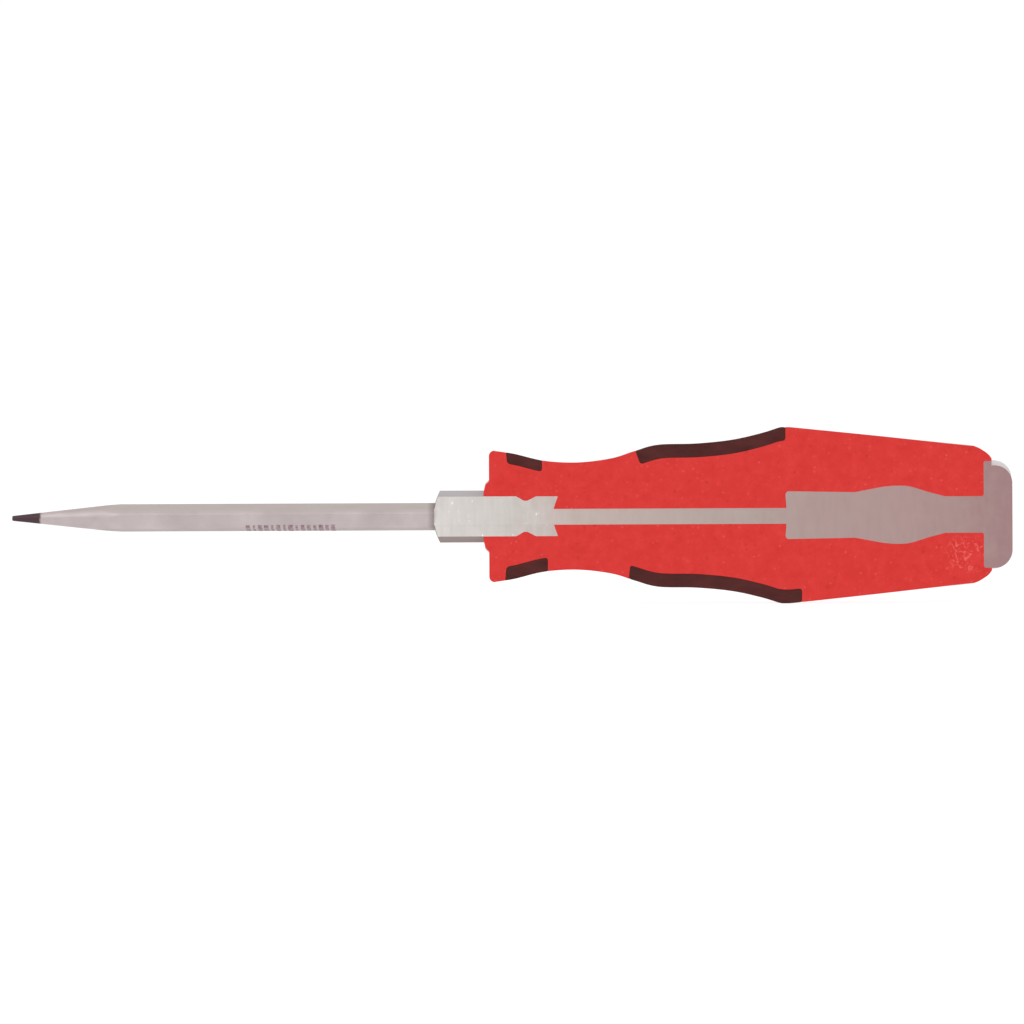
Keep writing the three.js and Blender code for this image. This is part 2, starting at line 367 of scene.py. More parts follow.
def angle_and_radius(tree):
    """Each point's place: x, y and z, its angle from +Z towards -Y, and its radius."""
    place = add(tree, "GeometryNodeInputPosition")
    split = add(tree, "ShaderNodeSeparateXYZ", {0: place.outputs[0]})
    x, y, z = split.outputs
    minus_y = add(tree, "ShaderNodeMath", {0: y, 1: -1.0}, operation="MULTIPLY").outputs[0]
    angle = add(tree, "ShaderNodeMath", {0: minus_y, 1: z}, operation="ARCTAN2").outputs[0]
    across = add(tree, "ShaderNodeCombineXYZ", {1: y, 2: z}).outputs[0]
    radius = add(tree, "ShaderNodeVectorMath", {0: across}, operation="LENGTH").outputs["Value"]
    return x, y, z, angle, radius


def reshape(tree, geometry, x, y, z, factor):
    """Moves each point straight out from the axis by a factor."""
    new_y = add(tree, "ShaderNodeMath", {0: y, 1: factor}, operation="MULTIPLY").outputs[0]
    new_z = add(tree, "ShaderNodeMath", {0: z, 1: factor}, operation="MULTIPLY").outputs[0]
    place = add(tree, "ShaderNodeCombineXYZ", {0: x, 1: new_y, 2: new_z}).outputs[0]
    moved = add(tree, "GeometryNodeSetPosition", {"Geometry": geometry, "Position": place})
    return moved.outputs[0]


def hexagonal_stock():
    """Holds a turned piece inside a hexagonal bar, with slightly softened edges."""
    tree, start, end = new_rule(
        "hexagonal_stock",
        {"Half Across Flats": 3.0, "Corner Turn": 0.0, "Softness": 0.1},
    )
    x, y, z, angle, radius = angle_and_radius(tree)
    turn = add(
        tree,
        "ShaderNodeMath",
        {0: angle, 1: start.outputs["Corner Turn"]},
        operation="SUBTRACT",
    ).outputs[0]
    from_corner = add(
        tree, "ShaderNodeMath", {0: turn, 1: math.pi / 6}, operation="PINGPONG"
    ).outputs[0]
    from_flat = add(
        tree, "ShaderNodeMath", {0: math.pi / 6, 1: from_corner}, operation="SUBTRACT"
    ).outputs[0]
    cosine = add(tree, "ShaderNodeMath", {0: from_flat}, operation="COSINE").outputs[0]
    flat = add(
        tree,
        "ShaderNodeMath",
        {0: start.outputs["Half Across Flats"], 1: cosine},
        operation="DIVIDE",
    ).outputs[0]
    held = add(
        tree,
        "ShaderNodeMath",
        {0: radius, 1: flat, 2: start.outputs["Softness"]},
        operation="SMOOTH_MIN",
    ).outputs[0]
    factor = add(tree, "ShaderNodeMath", {0: held, 1: radius}, operation="DIVIDE").outputs[0]
    return close_rule(
        tree, start, end, reshape(tree, start.outputs["Geometry"], x, y, z, factor)
    )


def six_flats():
    """Gives a turned handle six flats that fade to round at the cap."""
    tree, start, end = new_rule(
        "six_flats",
        {"Front": -124.0, "Grip": -80.0, "Peak": -53.0, "Rear": -5.0},
    )
    x, y, z, angle, _ = angle_and_radius(tree)
    rise = add(
        tree,
        "ShaderNodeMapRange",
        {
            "Value": x,
            "From Min": start.outputs["Front"],
            "From Max": start.outputs["Grip"],
            "To Min": FRONT_POWER,
            "To Max": GRIP_POWER,
        },
        interpolation_type="SMOOTHSTEP",
    ).outputs[0]
    fade = add(
        tree,
        "ShaderNodeMapRange",
        {
            "Value": x,
            "From Min": start.outputs["Peak"],
            "From Max": start.outputs["Rear"],
            "To Min": 0.0,
            "To Max": GRIP_POWER - ROUND_POWER,
        },
        interpolation_type="SMOOTHSTEP",
    ).outputs[0]
    power = add(tree, "ShaderNodeMath", {0: rise, 1: fade}, operation="SUBTRACT").outputs[0]
    total = None
    for flat in range(3):
        turn = add(
            tree, "ShaderNodeMath", {0: angle, 1: flat * math.pi / 3}, operation="SUBTRACT"
        ).outputs[0]
        cosine = add(tree, "ShaderNodeMath", {0: turn}, operation="COSINE").outputs[0]
        size = add(tree, "ShaderNodeMath", {0: cosine}, operation="ABSOLUTE").outputs[0]
        raised = add(tree, "ShaderNodeMath", {0: size, 1: power}, operation="POWER").outputs[0]
        if total is None:
            total = raised
        else:
            total = add(
                tree, "ShaderNodeMath", {0: total, 1: raised}, operation="ADD"
            ).outputs[0]
    half = add(tree, "ShaderNodeMath", {0: 0.5, 1: power}, operation="POWER").outputs[0]
    at_flat = add(
        tree, "ShaderNodeMath", {0: half, 1: 2.0, 2: 1.0}, operation="MULTIPLY_ADD"
    ).outputs[0]
    ratio = add(tree, "ShaderNodeMath", {0: total, 1: at_flat}, operation="DIVIDE").outputs[0]
    root = add(tree, "ShaderNodeMath", {0: -1.0, 1: power}, operation="DIVIDE").outputs[0]
    factor = add(tree, "ShaderNodeMath", {0: ratio, 1: root}, operation="POWER").outputs[0]
    return close_rule(
        tree, start, end, reshape(tree, start.outputs["Geometry"], x, y, z, factor)
    )


def size_marks():
    """Small plain dashes of uneven length, in a row along a facet."""
    tree, start, end = new_rule(
        "size_marks",
        {"Length": 20.0, "Count": 16.0, "Dash": 0.8, "Width": 2.4, "Depth": 0.05},
    )
    line = add(
        tree,
        "GeometryNodeMeshLine",
        {"Count": start.outputs["Count"], "Offset": (0.0, 0.0, 0.0)},
        mode="OFFSET",
    )
    index = add(tree, "GeometryNodeInputIndex")
    last = add(
        tree, "ShaderNodeMath", {0: start.outputs["Count"], 1: 1.0}, operation="SUBTRACT"
    ).outputs[0]
    share = add(
        tree, "ShaderNodeMath", {0: index.outputs[0], 1: last}, operation="DIVIDE"
    ).outputs[0]
    along = add(
        tree,
        "ShaderNodeMath",
        {0: share, 1: start.outputs["Length"]},
        operation="MULTIPLY",
    ).outputs[0]
    place = add(tree, "ShaderNodeCombineXYZ", {0: along}).outputs[0]
    spread = add(
        tree, "GeometryNodeSetPosition", {"Geometry": line.outputs[0], "Position": place}
    )
    size = add(
        tree,
        "ShaderNodeCombineXYZ",
        {0: start.outputs["Dash"], 1: start.outputs["Depth"], 2: start.outputs["Width"]},
    ).outputs[0]
    dash = add(tree, "GeometryNodeMeshCube", {"Size": size})
    uneven = add(
        tree,
        "FunctionNodeRandomValue",
        {0: (0.5, 1.0, 0.85), 1: (1.25, 1.0, 1.15), "Seed": 4},
        data_type="FLOAT_VECTOR",
    )
    placed = add(
        tree,
        "GeometryNodeInstanceOnPoints",
        {
            "Points": spread.outputs[0],
            "Instance": dash.outputs[0],
            "Scale": uneven.outputs[0],
        },
    )
    return close_rule(tree, start, end, placed.outputs[0])


# ---- finishes -------------------------------------------------------------------

PLATE_SHADE = "#bdb1b1"
PLATE_LIGHT = "#ccc1c1"
RED_SHADE = "#cd312e"
RED_LIGHT = "#dc3e3a"

# The milled steel's tone from the bolster's front end to the striking face: a painted reflection,
# pale at the bolster and darker and warmer towards the cap.
SECTION_REFLECTION_TONES = (
    (0.08, "#ddd8d4"),
    (0.20, "#d2cdc8"),
    (0.27, "#cbbdb8"),
    (0.325, "#c5b5af"),
    (0.575, "#b8a7a2"),
    (0.67, "#b69f9b"),
    (0.80, "#b59b98"),
    (0.90, "#b09592"),
    (0.97, "#aa898a"),
)

# Where the cutter tore the red plastic, near the cap.
TORN_PLACE = (-11.0, SECTION_Y, -9.4)


def new_finish(name):
    """A material with an empty Principled surface, and its object coordinates."""
    material = bpy.data.materials.new(name)
    material.use_nodes = True
    tree = material.node_tree
    tree.nodes.clear()
    surface = add(tree, "ShaderNodeBsdfPrincipled")
    add(tree, "ShaderNodeOutputMaterial", {"Surface": surface.outputs[0]})
    place = add(tree, "ShaderNodeTexCoord").outputs["Object"]
    return material, tree, surface, place


def per_mm(size_mm):
    """The texture scale that gives features of this size."""
    return 1 / (size_mm * MM)


def flecks(tree, place, size_mm, strength):
    """Small scattered flecks of uneven strength: a factor from 0 up to strength."""
    cells = add(tree, "ShaderNodeTexVoronoi", {"Vector": place, "Scale": per_mm(size_mm)})
    chance = add(tree, "ShaderNodeSeparateColor", {0: cells.outputs["Color"]}).outputs[0]
    seldom = add(tree, "ShaderNodeMath", {0: chance, 1: 3.0}, operation="POWER").outputs[0]
    near = add(
        tree,
        "ShaderNodeMapRange",
        {
            "Value": cells.outputs["Distance"],
            "From Min": 0.06,
            "From Max": 0.3,
            "To Min": strength,
            "To Max": 0.0,
        },
    ).outputs[0]
    return add(tree, "ShaderNodeMath", {0: near, 1: seldom}, operation="MULTIPLY").outputs[0]


def plated_bar():
    """Satin nickel plating on ground hexagonal bar, its point blackened.

    Soft grey metal with faint pinkish warmth, drawn out in fine lines along the bar.
    The last few millimetres are nearly black where the point was hardened. The top facet
    has a painted greenish tint for the light it reflects, and the lower side and the bar
    just in front of the bolster are darkened brown as painted shade.
    """
    material, tree, surface, place = new_finish("satin_nickel_plated_bar")
    stretched = add(tree, "ShaderNodeMapping", {0: place, "Scale": (0.05, 1.0, 1.0)})
    grain = add(
        tree,
        "ShaderNodeTexNoise",
        {"Vector": stretched.outputs[0], "Scale": per_mm(0.4), "Detail": 4.0},
    ).outputs[0]
    cloud = add(
        tree,
        "ShaderNodeTexNoise",
        {"Vector": place, "Scale": per_mm(7.0), "Detail": 5.0},
    ).outputs[0]
    mottle = add(
        tree, "ShaderNodeMath", {0: grain, 1: 0.4, 2: cloud}, operation="MULTIPLY_ADD"
    ).outputs[0]
    tone = add(
        tree,
        "ShaderNodeValToRGB",
        {0: mottle},
        stops=((0.5, PLATE_SHADE), (0.9, PLATE_LIGHT)),
    ).outputs[0]
    along, across, height = add(tree, "ShaderNodeSeparateXYZ", {0: place}).outputs
    # Painted shade: the bar's lower side darkens towards brown below 2.5 mm under the axis.
    underside = add(
        tree,
        "ShaderNodeMapRange",
        {
            "Value": height,
            "From Min": -2.8 * MM,
            "From Max": -2.5 * MM,
            "To Min": 0.26,
            "To Max": 0.0,
        },
    ).outputs[0]
    # Painted reflection: above 1 mm over the axis the top facet is tinted greenish grey,
    # unevenly.
    upper = add(
        tree,
        "ShaderNodeMapRange",
        {
            "Value": height,
            "From Min": 1.0 * MM,
            "From Max": 1.9 * MM,
            "To Min": 0.0,
            "To Max": 1.2,
        },
    ).outputs[0]
    patchy = add(
        tree, "ShaderNodeMath", {0: upper, 1: cloud}, operation="MULTIPLY"
    ).outputs[0]
    with_top_reflection = add(
        tree,
        "ShaderNodeMix",
        {"Factor": patchy, "A": tone, "B": srgb("#b7afa8")},
        data_type="RGBA",
    ).outputs["Result"]
    # Painted shadow where the bar goes into the bolster, rising over the last 1.6 mm before it.
    bolster_joint_shade = add(
        tree,
        "ShaderNodeMapRange",
        {
            "Value": along,
            "From Min": (BOLSTER_FRONT - 1.6) * MM,
            "From Max": (BOLSTER_FRONT - 0.2) * MM,
            "To Min": 0.0,
            "To Max": 0.6,
        },
    ).outputs[0]
    # The stronger of the two painted shades mixes the plate towards brown.
    painted_shade = add(
        tree, "ShaderNodeMath", {0: underside, 1: bolster_joint_shade}, operation="MAXIMUM"
    ).outputs[0]
    plate = add(
        tree,
        "ShaderNodeMix",
        {"Factor": painted_shade, "A": with_top_reflection, "B": srgb("#7b6b6c")},
        data_type="RGBA",
    ).outputs["Result"]
    ragged = add(
        tree,
        "ShaderNodeTexNoise",
        {"Vector": place, "Scale": per_mm(1.2), "Detail": 3.0},
    ).outputs[0]
    edge = add(
        tree,
        "ShaderNodeMath",
        {0: ragged, 1: 0.8 * MM, 2: along},
        operation="MULTIPLY_ADD",
    ).outputs[0]
    dark = add(
        tree,
        "ShaderNodeMapRange",
        {
            "Value": edge,
            "From Min": (POINT_X + DARK_POINT) * MM,
            "From Max": (POINT_X + DARK_POINT + 0.5) * MM,
            "To Min": 1.0,
            "To Max": 0.0,
        },
    ).outputs[0]
    colour = add(
        tree,
        "ShaderNodeMix",
        {"Factor": dark, "A": plate, "B": srgb("#574449")},
        data_type="RGBA",
    )
    tree.links.new(colour.outputs["Result"], surface.inputs["Base Color"])
    rough = add(
        tree,
        "ShaderNodeMapRange",
        {"Value": grain, "From Min": 0.3, "From Max": 0.7, "To Min": 0.5, "To Max": 0.62},
    )
    tree.links.new(rough.outputs[0], surface.inputs["Roughness"])
    bump = add(
        tree,
        "ShaderNodeBump",
        {"Height": grain, "Strength": 0.15, "Distance": 0.02 * MM},
    )
    tree.links.new(bump.outputs[0], surface.inputs["Normal"])
    surface.inputs["Metallic"].default_value = 1.0
    return material


def milled_steel():
    """Bare steel where the cutter went through.

    One flat face runs through the bolster, tang, anchor and cap, with a painted
    reflection: cool and pale at the bolster, and a warm brownish grey by the cap. It has
    soft patches and faint upright cutter marks, and the bolster has small bright nicks.
    """
    material, tree, surface, place = new_finish("milled_steel_painted_reflection")
    along = add(tree, "ShaderNodeSeparateXYZ", {0: place}).outputs[0]
    # Painted reflection: the tone runs along the bar from pale at the bolster to darker at the
    # cap.
    travel = add(
        tree,
        "ShaderNodeMapRange",
        {
            "Value": along,
            "From Min": BOLSTER_FRONT * MM,
            "From Max": STRIKE_X * MM,
            "To Max": 0.9,
        },
    ).outputs[0]
    patches = add(
        tree,
        "ShaderNodeTexNoise",
        {"Vector": place, "Scale": per_mm(4.0), "Detail": 4.0, "Roughness": 0.6},
    ).outputs[0]
    wandering = add(
        tree, "ShaderNodeMath", {0: patches, 1: 0.16, 2: travel}, operation="MULTIPLY_ADD"
    ).outputs[0]
    tone = add(tree, "ShaderNodeValToRGB", {0: wandering}, stops=SECTION_REFLECTION_TONES).outputs[0]
    upright = add(tree, "ShaderNodeMapping", {0: place, "Scale": (1.0, 1.0, 0.15)}).outputs[0]
    marks = add(
        tree,
        "ShaderNodeTexNoise",
        {"Vector": upright, "Scale": per_mm(0.9), "Detail": 3.0},
    ).outputs[0]
    value = add(
        tree,
        "ShaderNodeMapRange",
        {"Value": marks, "From Min": 0.25, "From Max": 0.75, "To Min": 0.95, "To Max": 1.05},
    ).outputs[0]
    marked = add(tree, "ShaderNodeHueSaturation", {"Value": value, "Color": tone}).outputs[0]
    tall = add(tree, "ShaderNodeMapping", {0: place, "Scale": (1.0, 1.0, 0.5)}).outputs[0]
    nick = flecks(tree, tall, 0.8, 1.6)
    groups = add(tree, "ShaderNodeTexNoise", {"Vector": place, "Scale": per_mm(5.0)}).outputs[0]
    grouped = add(
        tree,
        "ShaderNodeMapRange",
        {"Value": groups, "From Min": 0.47, "From Max": 0.57},
    ).outputs[0]
    on_bolster = add(
        tree,
        "ShaderNodeMath",
        {0: along, 1: (BOLSTER_REAR - 2.0) * MM},
        operation="LESS_THAN",
    ).outputs[0]
    allowed = add(
        tree, "ShaderNodeMath", {0: grouped, 1: on_bolster}, operation="MULTIPLY"
    ).outputs[0]
    shown = add(tree, "ShaderNodeMath", {0: nick, 1: allowed}, operation="MULTIPLY").outputs[0]
    colour = add(
        tree,
        "ShaderNodeMix",
        {"Factor": shown, "A": marked, "B": srgb("#fbf9f8")},
        data_type="RGBA",
    )
    tree.links.new(colour.outputs["Result"], surface.inputs["Base Color"])
    rough = add(
        tree,
        "ShaderNodeMapRange",
        {"Value": marks, "From Min": 0.3, "From Max": 0.7, "To Min": 0.48, "To Max": 0.58},
    )
    tree.links.new(rough.outputs[0], surface.inputs["Roughness"])
    bump = add(
        tree,
        "ShaderNodeBump",
        {"Height": marks, "Strength": 0.12, "Distance": 0.02 * MM},
    )
    tree.links.new(bump.outputs[0], surface.inputs["Normal"])
    surface.inputs["Metallic"].default_value = 1.0
    return material


def satin_plate(name, top, underside, half_height):
    """Satin plating on a turned or forged piece: soft grey, with fine lines along it,
    lighter on top and darker and browner below as painted light and shade."""
    material, tree, surface, place = new_finish(name)
    height = add(tree, "ShaderNodeSeparateXYZ", {0: place}).outputs[2]
    lines = add(tree, "ShaderNodeMapping", {0: place, "Scale": (0.06, 1.0, 1.0)}).outputs[0]
    grain = add(
        tree,
        "ShaderNodeTexNoise",
        {"Vector": lines, "Scale": per_mm(0.5), "Detail": 5.0},
    ).outputs[0]
    uneven = add(
        tree,
        "ShaderNodeMath",
        {0: grain, 1: 0.5 * half_height * MM, 2: height},
        operation="MULTIPLY_ADD",
    ).outputs[0]
    painted_light_level = add(
        tree,
        "ShaderNodeMapRange",
        {
            "Value": uneven,
            "From Min": -0.75 * half_height * MM,
            "From Max": 1.25 * half_height * MM,
        },
    ).outputs[0]
    # Painted light and shade: the colour runs from the lower tone at the bottom to the top tone
    # above.
    tone = add(
        tree,
        "ShaderNodeValToRGB",
        {0: painted_light_level},
        stops=((0.0, underside), (1.0, top)),
    )
    tree.links.new(tone.outputs[0], surface.inputs["Base Color"])
    rough = add(
        tree,
        "ShaderNodeMapRange",
        {"Value": grain, "From Min": 0.3, "From Max": 0.7, "To Min": 0.4, "To Max": 0.52},
    )
    tree.links.new(rough.outputs[0], surface.inputs["Roughness"])
    bump = add(
        tree,
        "ShaderNodeBump",
        {"Height": grain, "Strength": 0.2, "Distance": 0.03 * MM},
    )
    tree.links.new(bump.outputs[0], surface.inputs["Normal"])
    surface.inputs["Metallic"].default_value = 1.0
    return material


def moulded_red():
    """Cellulose acetate, injection moulded: clean saturated red with a soft gloss."""
    material, tree, surface, place = new_finish("moulded_red_acetate")
    ripple = add(
        tree,
        "ShaderNodeTexNoise",
        {"Vector": place, "Scale": per_mm(6.0), "Detail": 2.0},
    ).outputs[0]
    tone = add(
        tree,
        "ShaderNodeValToRGB",
        {0: ripple},
        stops=((0.3, "#c4201d"), (0.7, "#cf2724")),
    )
    tree.links.new(tone.outputs[0], surface.inputs["Base Color"])
    fine = add(
        tree,
        "ShaderNodeTexNoise",
        {"Vector": place, "Scale": per_mm(0.5), "Detail": 2.0},
    ).outputs[0]
    rough = add(
        tree,
        "ShaderNodeMapRange",
        {"Value": fine, "From Min": 0.3, "From Max": 0.7, "To Min": 0.24, "To Max": 0.34},
    )
    tree.links.new(rough.outputs[0], surface.inputs["Roughness"])
    bump = add(
        tree,
        "ShaderNodeBump",
        {"Height": ripple, "Strength": 0.05, "Distance": 0.1 * MM},
    )
    tree.links.new(bump.outputs[0], surface.inputs["Normal"])
    surface.inputs["IOR"].default_value = 1.48
    surface.inputs["Specular IOR Level"].default_value = 0.35
    return material


def milled_red():
    """The red acetate where it was milled through: flat and chalky, with soft clouds,
    pale and dark flecks, and torn pale marks near the cap where the cutter left it."""
    material, tree, surface, place = new_finish("milled_red_acetate")
    cloud = add(
        tree,
        "ShaderNodeTexNoise",
        {"Vector": place, "Scale": per_mm(3.0), "Detail": 7.0, "Roughness": 0.8},
    ).outputs[0]
    tone = add(
        tree,
        "ShaderNodeValToRGB",
        {0: cloud},
        stops=((0.3, RED_SHADE), (0.7, RED_LIGHT)),
    ).outputs[0]
    pale = flecks(tree, place, 1.2, 0.3)
    with_pale = add(
        tree,
        "ShaderNodeMix",
        {"Factor": pale, "A": tone, "B": srgb("#f27c76")},
        data_type="RGBA",
    ).outputs["Result"]
    aside = add(tree, "ShaderNodeMapping", {0: place, "Location": (0.004, 0.0, 0.007)})
    dark = flecks(tree, aside.outputs[0], 1.9, 0.55)
    with_dark = add(
        tree,
        "ShaderNodeMix",
        {"Factor": dark, "A": with_pale, "B": srgb("#ab2a26")},
        data_type="RGBA",
    ).outputs["Result"]
    away = add(
        tree,
        "ShaderNodeVectorMath",
        {0: place, 1: tuple(v * MM for v in TORN_PLACE)},
        operation="DISTANCE",
    ).outputs["Value"]
    around = add(
        tree,
        "ShaderNodeMapRange",
        {"Value": away, "From Min": 3.0 * MM, "From Max": 5.6 * MM, "To Min": 1.0, "To Max": 0.0},
    ).outputs[0]
    torn = add(
        tree,
        "ShaderNodeTexNoise",
        {"Vector": place, "Scale": per_mm(1.8), "Detail": 3.0, "Distortion": 2.0},
    ).outputs[0]
    torn_marks = add(
        tree,
        "ShaderNodeMapRange",
        {"Value": torn, "From Min": 0.54, "From Max": 0.64, "To Min": 0.0, "To Max": 0.6},
    ).outputs[0]
    torn_here = add(
        tree, "ShaderNodeMath", {0: torn_marks, 1: around}, operation="MULTIPLY"
    ).outputs[0]
    colour = add(
        tree,
        "ShaderNodeMix",
        {"Factor": torn_here, "A": with_dark, "B": srgb("#ee7069")},
        data_type="RGBA",
    )
    tree.links.new(colour.outputs["Result"], surface.inputs["Base Color"])
    relief = add(
        tree, "ShaderNodeMath", {0: torn_here, 1: 0.6, 2: cloud}, operation="MULTIPLY_ADD"
    ).outputs[0]
    bump = add(
        tree,
        "ShaderNodeBump",
        {"Height": relief, "Strength": 0.2, "Distance": 0.1 * MM},
    )
    tree.links.new(bump.outputs[0], surface.inputs["Normal"])
    surface.inputs["Roughness"].default_value = 0.7
    surface.inputs["Specular IOR Level"].default_value = 0.12
    return material


def moulded_rubber():
    """Thermoplastic rubber with a spark-eroded mould texture: dark, matt, even."""
    material, tree, surface, place = new_finish("moulded_dark_rubber")
    grit = add(
        tree,
        "ShaderNodeTexNoise",
        {"Vector": place, "Scale": per_mm(0.4), "Detail": 2.0},
    ).outputs[0]
    tone = add(
        tree,
        "ShaderNodeValToRGB",
        {0: grit},
        stops=((0.3, "#3f2524"), (0.7, "#4f302e")),
    )
    tree.links.new(tone.outputs[0], surface.inputs["Base Color"])
    bump = add(
        tree,
        "ShaderNodeBump",
        {"Height": grit, "Strength": 0.5, "Distance": 0.06 * MM},
    )
    tree.links.new(bump.outputs[0], surface.inputs["Normal"])
    surface.inputs["Roughness"].default_value = 0.7
    return material


def cut_rubber():
    """The rubber where it was cut through: smooth, brownish, a little smeared."""
    material, tree, surface, place = new_finish("cut_dark_rubber")
    smear = add(tree, "ShaderNodeMapping", {0: place, "Scale": (0.35, 1.0, 1.0)})
    cloud = add(
        tree,
        "ShaderNodeTexNoise",
        {"Vector": smear.outputs[0], "Scale": per_mm(1.6), "Detail": 4.0},
    ).outputs[0]
    tone = add(
        tree,
        "ShaderNodeValToRGB",
        {0: cloud},
        stops=((0.3, "#472321"), (0.7, "#562b29")),
    )
    tree.links.new(tone.outputs[0], surface.inputs["Base Color"])
    surface.inputs["Roughness"].default_value = 0.8
    surface.inputs["Specular IOR Level"].default_value = 0.1
    return material


def etched_mark():
    """Dark chemical etching on the plating: dull reddish grey, uneven along a dash."""
    material, tree, surface, place = new_finish("etched_mark")
    cloud = add(
        tree,
        "ShaderNodeTexNoise",
        {"Vector": place, "Scale": per_mm(0.6), "Detail": 3.0},
    ).outputs[0]
    tone = add(
        tree,
        "ShaderNodeValToRGB",
        {0: cloud},
        stops=((0.3, "#836870"), (0.7, "#ab959c")),
    )
    tree.links.new(tone.outputs[0], surface.inputs["Base Color"])
    surface.inputs["Roughness"].default_value = 0.7
    surface.inputs["Specular IOR Level"].default_value = 0.2
    return material


bar_plate = plated_bar()
# Each plated piece's two tones are painted light above and painted shade below; the cap's pale
# top is a painted highlight.
bolster_plate = satin_plate("satin_plated_bolster", "#b4afb0", "#998b88", BOLSTER_APOTHEM)
anchor_skin = satin_plate("turned_anchor_steel", "#b8a8a6", "#a08f8d", ANCHOR_RADIUS)
cap_plate = satin_plate("satin_plated_cap", "#e4dddd", "#b8a9a8", CAP_RADIUS)
steel_section = milled_steel()
red_skin = moulded_red()
red_section = milled_red()
rubber_skin = moulded_rubber()
rubber_section = cut_rubber()
mark_finish = etched_mark()

HEX_RULE = hexagonal_stock()
FLATS_RULE = six_flats()
MARKS_RULE = size_marks()


# ---- shapes ----------------------------------------------------------------------


def section_block():
    """Everything nearer than the section plane, from the bolster's front end on."""
    reach = 60.0
    x = (BOLSTER_FRONT, STRIKE_X + reach)
    y = (SECTION_Y - reach, SECTION_Y)
    z = (-reach, reach)
    corners = [(a, b, c) for a in x for b in y for c in z]
    faces = [(0, 1, 3, 2), (4, 6, 7, 5), (0, 4, 5, 1), (2, 3, 7, 6), (0, 2, 6, 4), (1, 5, 7, 3)]
    return mesh_object("section_block", corners, faces)


def bar_form(name, grow=0.0):
    """The pointed hexagonal bar with its turned spigot."""
    taper = math.tan(math.radians(POINT_HALF_ANGLE))
    envelope = BAR_APOTHEM * FLAT_TO_CORNER - 0.04 + grow
    cone_end = POINT_X + (envelope - POINT_RADIUS) / taper
    shoulder = ANCHOR_FRONT + ANCHOR_HOLLOW + grow
    spigot = SPIGOT_RADIUS + grow
    outline = [(POINT_X, 0), (POINT_X, 0.48), (POINT_X + 0.07, 0.58)]
    outline += stretch((POINT_X + 0.28, POINT_RADIUS + 0.02), (cone_end, envelope), 0.3)
    outline += stretch((cone_end + 0.5, envelope), (shoulder, envelope), 2.0)
    outline += [(shoulder, spigot), (SPIGOT_END + grow, spigot), (SPIGOT_END + grow, 0)]
    return apply_rule(
        turned(name, outline, 192),
        HEX_RULE,
        {
            "Half Across Flats": BAR_APOTHEM + grow,
            "Corner Turn": math.radians(BAR_ROLL),
            "Softness": 0.12,
        },
        bar_plate,
    )


def marks_form(name, facet, width, aside):
    """A row of dashes half sunk in a facet of the shank, aside from its middle line."""
    row = apply_rule(
        mesh_object(name, [(0, 0, 0)], []),
        MARKS_RULE,
        {
            "Length": MARKS_LENGTH,
            "Count": MARKS_COUNT,
            "Dash": 0.95,
            "Width": width,
            "Depth": 0.05,
        },
        mark_finish,
    )
    row.data.transform(Matrix.Translation((MARKS_FRONT, BAR_APOTHEM, aside)))
    row.data.transform(Matrix.Rotation(math.radians(facet) + math.pi / 2, 4, "X"))
    return row


def bolster_form(name, grow=0.0):
    """The chamfered hexagonal bolster with its groove and hollow tail."""
    corner = BOLSTER_APOTHEM * FLAT_TO_CORNER + grow
    tail = BOLSTER_APOTHEM + grow
    groove = GROOVE_RADIUS + grow
    groove_rear = GROOVE_FRONT + GROOVE_WIDTH
    over = corner + 0.3
    chamfer = [
        (BOLSTER_FRONT - grow, 2.6),
        (BOLSTER_FRONT + 0.15, 3.1),
        (BOLSTER_FRONT + 0.7, 4.75),
        (BOLSTER_FRONT + 1.5, over),
    ]
    outline = [(BOLSTER_FRONT - grow, 0), *smooth_line(chamfer, 0.12)]
    outline += stretch((BOLSTER_FRONT + 1.9, over), (GROOVE_FRONT, over), 1.0)
    outline += [
        (GROOVE_FRONT, tail),
        (GROOVE_FRONT + 0.36 * GROOVE_WIDTH, groove + 0.06),
        (GROOVE_FRONT + 0.42 * GROOVE_WIDTH, groove),
        (GROOVE_FRONT + 0.54 * GROOVE_WIDTH, groove),
        (GROOVE_FRONT + 0.6 * GROOVE_WIDTH, groove + 0.08),
        (groove_rear, tail),
        (BOLSTER_REAR - 0.1 + grow, tail),
        (BOLSTER_REAR + grow, tail - 0.1),
        (BOLSTER_REAR - COUNTERSINK + grow, BAR_APOTHEM),
        (BOLSTER_REAR - COUNTERSINK + grow, 0),
    ]
    return apply_rule(
        turned(name, outline, 192),
        HEX_RULE,
        {
            "Half Across Flats": BOLSTER_APOTHEM + grow,
            "Corner Turn": 0.0,
            "Softness": 0.1,
        },
        bolster_plate,
    )


def anchor_form(name, grow=0.0):
    """The anchor sleeve with its bulge."""
    swell = smooth_line(
        [
            WAIST,
            (BULGE[0] - 5.7, 6.75),
            (BULGE[0] - 3.0, 7.17),
            BULGE,
            (BULGE[0] + 2.8, 7.12),
            (BULGE[0] + 7.0, 5.95),
            NECK_FRONT,
        ],
        0.7,
    )
    front = ANCHOR_FRONT - grow
    outline = [(front + ANCHOR_HOLLOW, 0), (front, ANCHOR_RADIUS - 0.9)]
    edge = (front + ANCHOR_EDGE, ANCHOR_RADIUS - ANCHOR_EDGE + grow)
    outline += arc(edge, ANCHOR_EDGE, 180, 90)
    sleeve_start = (front + 2.0, ANCHOR_RADIUS - 0.03 + grow)
    sleeve_end = (WAIST[0] - 1.0, WAIST[1] + 0.02 + grow)
    outline += stretch(sleeve_start, sleeve_end, 1.5)
    outline += [(x, radius + grow) for x, radius in swell]
    outline += [(ANCHOR_REAR + grow, NECK_RADIUS + grow), (ANCHOR_REAR + grow, 0)]
    return turned(name, outline)


